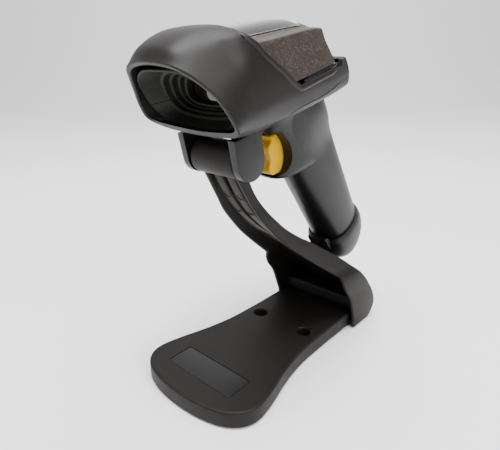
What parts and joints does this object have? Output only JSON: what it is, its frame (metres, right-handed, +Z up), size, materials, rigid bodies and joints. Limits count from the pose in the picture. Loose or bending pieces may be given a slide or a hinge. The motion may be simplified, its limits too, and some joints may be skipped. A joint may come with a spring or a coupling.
{
  "type": "handheld barcode scanner on stand",
  "caption": "Pistol-grip handheld barcode scanner with a soft nose boot, hung by a friction hinge on a weighted S-shaped desk stand.",
  "frame": {"origin": "on the table under the middle of the whole object", "axes": "+Z up, -Y towards the front of base and nose, +X towards the object's own left side"},
  "size_m": [0.0832, 0.1781, 0.2014],
  "materials": {
    "stand_plastic": "fine moulded grain",
    "ballast_steel": "plain sheet",
    "dark_screw_steel": "black oxide",
    "pad_rubber": "matte",
    "boot_rubber": "soft-touch matte",
    "cover_plastic": "spark-textured",
    "gloss_panel": "polished",
    "shell_plastic": "satin",
    "trigger_plastic": "satin",
    "hood_plastic": "matte",
    "scan_glass": "dark red filter",
    "bright_steel": "zinc plated",
    "nylon": "natural",
    "black_plastic": "moulded",
    "led_epoxy": "clear cast",
    "clear_plastic": "polished",
    "board_laminate": "solder mask",
    "lead_jacket": "matte"
  },
  "bodies": {
    "stand": {"ballast_plate": "ballast_steel", "base_bottom_cover": "stand_plastic", "base_screw_1": "dark_screw_steel", "base_screw_2": "dark_screw_steel", "base_screw_3": "dark_screw_steel", "base_screw_4": "dark_screw_steel", "base_shell": "stand_plastic", "neck_frame": "stand_plastic", "neck_screw_left": "dark_screw_steel", "neck_screw_right": "dark_screw_steel", "rubber_pad_front_left": "pad_rubber", "rubber_pad_front_right": "pad_rubber", "rubber_pad_rear_left": "pad_rubber", "rubber_pad_rear_right": "pad_rubber"},
    "scanner": {"beeper": "black_plastic", "board_spacer_1": "bright_steel", "board_spacer_2": "bright_steel", "board_spacer_3": "bright_steel", "board_spacer_4": "bright_steel", "cable_socket": "black_plastic", "engine_bracket": "bright_steel", "engine_lens": "scan_glass", "friction_washer_left": "nylon", "friction_washer_right": "nylon", "front_floor_screw_left": "dark_screw_steel", "front_floor_screw_right": "dark_screw_steel", "rear_floor_screw_left": "dark_screw_steel", "rear_floor_screw_right": "dark_screw_steel", "handle_foot": "shell_plastic", "handle_left_shell": "shell_plastic", "handle_right_shell": "shell_plastic", "handle_screw_lower": "dark_screw_steel", "handle_screw_upper": "dark_screw_steel", "hinge_bolt": "bright_steel", "hinge_nut": "bright_steel", "hood_lower": "hood_plastic", "hood_upper": "hood_plastic", "illumination_led_left": "led_epoxy", "illumination_led_right": "led_epoxy", "indicator_light_guide": "clear_plastic", "inner_lead": "lead_jacket", "lead_connector": "nylon", "main_board": "board_laminate", "nose_boot": "boot_rubber", "processor_chip": "black_plastic", "scan_engine": "black_plastic", "scan_window": "scan_glass", "side_strip_left": "gloss_panel", "side_strip_right": "gloss_panel", "status_led": "led_epoxy", "switch_body": "black_plastic", "top_cover": "cover_plastic", "top_window": "gloss_panel", "trigger_pin": "bright_steel", "trigger_spring": "bright_steel"},
    "trigger": {"trigger": "trigger_plastic"},
    "switch_plunger": {"switch_plunger": "nylon"}
  },
  "joints": [
    {"name": "head_tilt", "type": "hinge", "parent": "stand", "child": "scanner", "pos_m": [0, -0.04443, 0.1345], "axis": [1, 0, 0], "range_deg": [0, 55]},
    {"name": "trigger_pull", "type": "hinge", "parent": "scanner", "child": "trigger", "pos_m": [0, 0.00006, 0.14355], "axis": [1, 0, 0], "range_deg": [0, 4], "stiffness_Nm_per_rad": 0.6, "springref_deg": -2.86},
    {"name": "switch_press", "type": "slide", "parent": "scanner", "child": "switch_plunger", "axis": [0, 0.9781, 0.2079], "range_m": [0, 0.0012]}
  ],
  "couplings": [
    {"joint": "switch_press", "follows": "trigger_pull", "m_per_rad": 0.0136}
  ]
}
